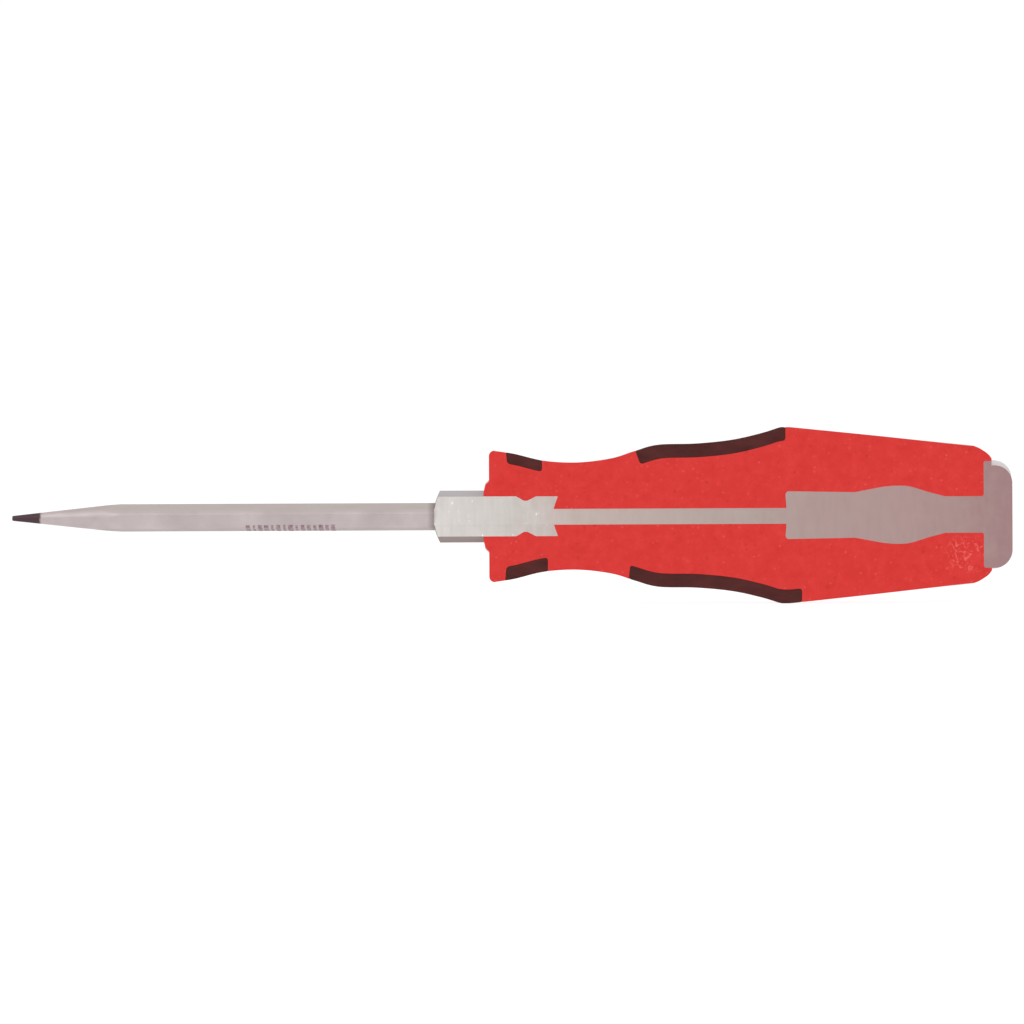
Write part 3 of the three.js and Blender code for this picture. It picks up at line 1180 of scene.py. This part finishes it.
def cap_form(name, grow=0.0):
    """The striking cap with its rounded rim and neck."""
    front = STRIKE_X - CAP_THICKNESS - grow
    radius = CAP_RADIUS + grow
    neck = NECK_RADIUS + grow
    outline = [(ANCHOR_REAR, 0), (ANCHOR_REAR, neck)]
    outline += stretch((ANCHOR_REAR + 0.4, neck), (front - 0.3, neck), 0.5)
    outline += [(front, neck + 0.3), (front, radius - 0.6)]
    outline += arc((front + 0.5, radius - 0.5), 0.5, 180, 90, 4)
    outline += arc((STRIKE_X - CAP_CORNER, radius - CAP_CORNER), CAP_CORNER, 90, 0, 16)
    outline += [(STRIKE_X, 4.0), (STRIKE_X, 0)]
    return turned(name, outline)


def cap_relief(name):
    """What is gone from the cap's upper rear corner in front of its plated rim."""
    radius = CAP_RADIUS - CAP_CORNER
    middle = STRIKE_X - CAP_CORNER
    low = arc((middle, radius - RELIEF_DROP), CAP_CORNER, 100, -10, 16)
    outline = [*low, (STRIKE_X + 2, radius - RELIEF_DROP), (STRIKE_X + 2, CAP_RADIUS + 2)]
    outline.append((low[0][0], CAP_RADIUS + 2))
    count = len(outline)
    points = [(x, y, z) for y in (SECTION_Y - 2, RELIEF_Y) for x, z in outline]
    faces = [tuple(range(count)), tuple(range(count, 2 * count))]
    for i in range(count):
        j = (i + 1) % count
        faces.append((i, j, count + j, count + i))
    return mesh_object(name, points, faces)


def handle_outline():
    """The handle's half-height along its length, from its front edge to its rear."""
    grip = [(HANDLE_FRONT + x, height) for x, height in GRIP_KNOTS]
    outline = arc((HANDLE_FRONT + 1.25, 14.4), 1.25, 180, 95, 6)
    outline += smooth_line(grip, 0.7)[1:]
    outline += stretch((PEAK_X - 1.4, PEAK_APOTHEM), (PEAK_X, PEAK_APOTHEM), 0.7)
    outline += stretch((PEAK_X + 0.5, PEAK_APOTHEM - 0.03), BEVEL[0], 1.0)
    outline += smooth_line(BEVEL, 0.4)[1:]
    return outline


HANDLE_OUTLINE = np.array(handle_outline())


def handle_form(name):
    """The handle's outside with its six flats."""
    outline = [(HANDLE_FRONT, 0), (HANDLE_FRONT, 8.9), *HANDLE_OUTLINE, (HANDLE_REAR, 0)]
    return apply_rule(
        turned(name, outline, 240),
        FLATS_RULE,
        {"Front": HANDLE_FRONT, "Grip": GRIP_X, "Peak": PEAK_X, "Rear": HANDLE_REAR},
        red_skin,
    )


def boss_form(name):
    """The low collar on the handle's front end that the bolster comes out of."""
    outline = [
        (BOSS_FRONT, 0),
        (BOSS_FRONT, 5.6),
        (BOSS_FRONT + 0.4, 7.6),
        (BOSS_FRONT + 0.6, 7.95),
        (BOSS_FRONT + 1.0, 8.3),
        (HANDLE_FRONT, BOSS_RADIUS),
        (HANDLE_FRONT + 1, BOSS_RADIUS),
        (HANDLE_FRONT + 1, 0),
    ]
    return turned(name, outline)


def smoothstep(value, low, high):
    """A smooth rise from 0 at low to 1 at high."""
    t = np.clip((value - low) / (high - low), 0, 1)
    return t * t * (3 - 2 * t)


def handle_radius(x, angle):
    """The handle's radius at x, at an angle from the middle of a flat."""
    height = np.interp(x, HANDLE_OUTLINE[:, 0], HANDLE_OUTLINE[:, 1])
    rise = (GRIP_POWER - FRONT_POWER) * smoothstep(x, HANDLE_FRONT, GRIP_X)
    fade = (GRIP_POWER - ROUND_POWER) * smoothstep(x, PEAK_X, HANDLE_REAR)
    power = FRONT_POWER + rise - fade
    total = sum(np.abs(np.cos(angle - k * math.pi / 3)) ** power for k in range(3))
    return height * (total / (1 + 2 * 0.5**power)) ** (-1 / power)


def pad_outline(length, width, corner):
    """A rounded oblong round the origin, with the same number of points at any size."""
    corners = []
    for quarter, (side_x, side_s) in enumerate(((1, 1), (-1, 1), (-1, -1), (1, -1))):
        centre = (side_x * (length / 2 - corner), side_s * (width / 2 - corner))
        corners.append(arc(centre, corner, 90 * quarter, 90 * quarter + 90, 12))
    points = []
    for quarter, rounded in enumerate(corners):
        following = corners[(quarter + 1) % 4][0]
        steps = (40, 10)[quarter % 2]
        straight = np.linspace(rounded[-1], following, steps, endpoint=False)
        points += [*rounded, *straight[1:]]
    return np.array(points)


def pad_body(name, pad, grow=0.0, cutter=False):
    """A grip pad that follows the handle's surface, or the cutter for its window.

    It is built flat, as rings that go from the middle of its foot out to its side and
    back to the middle of its outer face, and is then laid on the handle.
    """
    low_x, high_x, width, turn, rake, thickness = pad
    length = high_x - low_x + 2 * grow
    wide = width + 2 * grow
    middle = (low_x + high_x) / 2
    foot = thickness + grow - PAD_FOOT
    roll = np.radians(np.linspace(0, 90, 6))
    levels = [(PAD_FOOT * (1 - math.sin(a)), foot + PAD_FOOT * math.cos(a)) for a in roll]
    if cutter:
        levels += [(0.0, 0.0), (0.0, -WINDOW_REACH)]
    else:
        levels += [(PAD_EDGE * (1 - math.cos(a)), PAD_EDGE * (1 - math.sin(a))) for a in roll]
    rings = []
    for inset, depth in levels:
        ring = pad_outline(length - 2 * inset, wide - 2 * inset, PAD_CORNER + grow - inset)
        rings.append((ring, depth))
    foot_ring, foot_depth = rings[0]
    top_ring, top_depth = rings[-1]
    for scale in np.linspace(1, 0, 25)[1:-1]:
        rings.append((top_ring * scale, top_depth))
    rings = [(foot_ring * scale, foot_depth) for scale in np.linspace(0, 1, 13)[1:-1]] + rings
    points = [np.array([[0.0, 0.0, foot_depth]])]
    for ring, depth in rings:
        points.append(np.column_stack([ring, np.full(len(ring), depth)]))
    points.append(np.array([[0.0, 0.0, top_depth]]))
    flat = np.vstack(points)
    share = np.clip(0.5 - flat[:, 0] / length, 0, 1)
    x = middle + flat[:, 0]
    side = flat[:, 1]
    height = np.interp(x, HANDLE_OUTLINE[:, 0], HANDLE_OUTLINE[:, 1])
    for _ in range(12):
        angle = np.arctan2(side, height)
        height = handle_radius(x, angle) * np.cos(angle)
    height = height - flat[:, 2]
    x = x + flat[:, 2] * math.tan(math.radians(rake)) * share
    angle = math.radians(turn)
    placed = np.column_stack(
        [
            x,
            side * math.cos(angle) + height * math.sin(angle),
            -side * math.sin(angle) + height * math.cos(angle),
        ]
    )
    return mesh_object(name, placed, closed_rings(len(rings), len(top_ring)))


# ---- finishing a piece --------------------------------------------------------------


def dress(piece, skin, section, node=None):
    """Sets a piece's finishes, with its section face apart, and ties it to the frame."""
    mesh = piece.data
    mesh.materials.clear()
    mesh.materials.append(skin)
    mesh.materials.append(section)
    for face in mesh.polygons:
        flat = face.normal.y < -0.999 and abs(face.center.y - SECTION_Y) < 0.01
        face.material_index = 1 if flat else 0
        face.use_smooth = True
    mesh.set_sharp_from_angle(angle=math.radians(30))
    mesh.transform(Matrix.Scale(MM, 4))
    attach(piece, "root")
    if node:
        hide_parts(node)
    return piece


# ---- the pieces ------------------------------------------------------------------------

block = section_block()

bar = carve(bar_form("pointed_hex_bar"), block, keep_tool=True)
bolster = bolster_form("grooved_bolster")
carve(bolster, bar_form("bolster_bore", STEEL_SEAM))
carve(bolster, block, keep_tool=True)
anchor = anchor_form("bulged_anchor")
carve(anchor, bar_form("anchor_bore", STEEL_SEAM))
carve(anchor, block, keep_tool=True)
cap = cap_form("striking_cap")
carve(cap, cap_relief("cap_relief"))
carve(cap, bar_form("cap_bore", STEEL_SEAM))
carve(cap, block, keep_tool=True)

core = handle_form("red_handle_core")
carve(core, boss_form("boss"), "UNION")
pads = []
for pad_node, shape in PADS.items():
    low, high = box_mm(pad_node)
    pad = (low[0], high[0], *shape)
    pads.append((pad_node, pad_body("soft_" + pad_node, pad)))
    carve(core, pad_body("window", pad, PAD_SEAM, cutter=True))
carve(core, bolster_form("bolster_room", STEEL_SEAM))
carve(core, bar_form("bar_room", STEEL_SEAM))
carve(core, anchor_form("anchor_room", STEEL_SEAM))
carve(core, cap_form("cap_room", STEEL_SEAM))
carve(core, block, keep_tool=True)
for pad_node, pad in pads:
    if pad_node.endswith(("top", "bottom")):
        carve(pad, block, keep_tool=True)
bpy.data.objects.remove(block)

lower_marks = marks_form("size_marks", LOWER_MARKS_FACET, 2.8, 0.0)
upper_marks = marks_form("upper_size_marks", UPPER_MARKS_FACET, 0.8, 1.36)

dress(bar, bar_plate, steel_section, "awl_bar")
dress(bolster, bolster_plate, steel_section, "hex_bolster")
dress(anchor, anchor_skin, steel_section, "tang_anchor")
dress(cap, cap_plate, steel_section, "strike_cap")
dress(core, red_skin, red_section, "handle_core")
for marks in (lower_marks, upper_marks):
    dress(marks, mark_finish, mark_finish)
for pad_node, pad in pads:
    dress(pad, rubber_skin, rubber_section, pad_node)


# ---- camera, floor and light ----------------------------------------------------------

LENS = 100.0
SENSOR = 36.0
VIEW_WIDTH = 242.75 * MM
VIEW_CENTRE = (-118.65 * MM, 1.03 * MM)
VIEW_ROLL = math.radians(0.24)
FLOOR_GLOW = 0.9
WORLD_STRENGTH = 0.55

eye = bpy.data.cameras.new("square_on")
eye.lens = LENS
eye.sensor_width = SENSOR
eye.clip_start = 0.01
eye.clip_end = 20.0
camera = bpy.data.objects.new("square_on", eye)
bpy.context.scene.collection.objects.link(camera)
distance = VIEW_WIDTH * LENS / SENSOR
camera.location = (VIEW_CENTRE[0], SECTION_Y * MM - distance, VIEW_CENTRE[1])
camera.rotation_euler = (math.radians(90), VIEW_ROLL, 0)
bpy.context.scene.camera = camera


def pale_sweep():
    """A white floor that curves up behind the object into a backdrop.

    It is translucent white acrylic with a little light behind it, so that it stays
    nearly white and the shadow on it is faint.
    """
    floor_z = cad_box[0][2]
    near, far, top, bend = -3.0, 2.2, 2.6, 0.6
    side = 4.0
    line = [(near, 0.0), (0.0, 0.0)]
    for a in np.radians(np.linspace(-90, 0, 13)):
        line.append((far - bend + bend * math.cos(a), bend + bend * math.sin(a)))
    line.append((far, top))
    points = [(x, y, floor_z + z) for y, z in line for x in (-side, side)]
    faces = [(2 * i, 2 * i + 1, 2 * i + 3, 2 * i + 2) for i in range(len(line) - 1)]
    mesh = bpy.data.meshes.new("pale_sweep")
    mesh.from_pydata(points, [], faces)
    for face in mesh.polygons:
        face.use_smooth = True
    made = bpy.data.objects.new("pale_sweep", mesh)
    bpy.context.scene.collection.objects.link(made)
    material, _, surface, _ = new_finish("lit_white_acrylic")
    surface.inputs["Base Color"].default_value = (0.15, 0.15, 0.15, 1)
    surface.inputs["Roughness"].default_value = 0.9
    surface.inputs["Specular IOR Level"].default_value = 0.1
    surface.inputs["Emission Color"].default_value = (1.0, 1.0, 1.0, 1)
    surface.inputs["Emission Strength"].default_value = FLOOR_GLOW
    mesh.materials.append(material)


def soft_box(name, place, aim, size, power):
    """Adds a large square light that looks at a point."""
    lamp = bpy.data.lights.new(name, "AREA")
    lamp.shape = "SQUARE"
    lamp.size = size
    lamp.energy = power
    made = bpy.data.objects.new(name, lamp)
    bpy.context.scene.collection.objects.link(made)
    made.location = place
    direction = np.array(aim) - np.array(place)
    z_axis = -direction / np.linalg.norm(direction)
    x_axis = np.cross((0.02, 1, 0), z_axis)
    x_axis /= np.linalg.norm(x_axis)
    y_axis = np.cross(z_axis, x_axis)
    turn = Matrix([list(row) for row in np.column_stack([x_axis, y_axis, z_axis])])
    made.rotation_euler = turn.to_euler()


pale_sweep()
middle = (-0.12, 0.0, 0.0)
soft_box("key_softbox", (-1.6, -2.4, 2.2), middle, 3.0, 40.0)
soft_box("fill_softbox", (1.6, -2.2, 1.2), middle, 3.0, 12.0)
soft_box("overhead_softbox", (-0.12, 0.4, 2.4), middle, 3.0, 15.0)

world = bpy.data.worlds.new("even_white")
world.use_nodes = True
world.node_tree.nodes["Background"].inputs[0].default_value = (1.0, 1.0, 1.0, 1.0)
world.node_tree.nodes["Background"].inputs[1].default_value = WORLD_STRENGTH
bpy.context.scene.world = world
bpy.context.scene.view_settings.view_transform = "Standard"
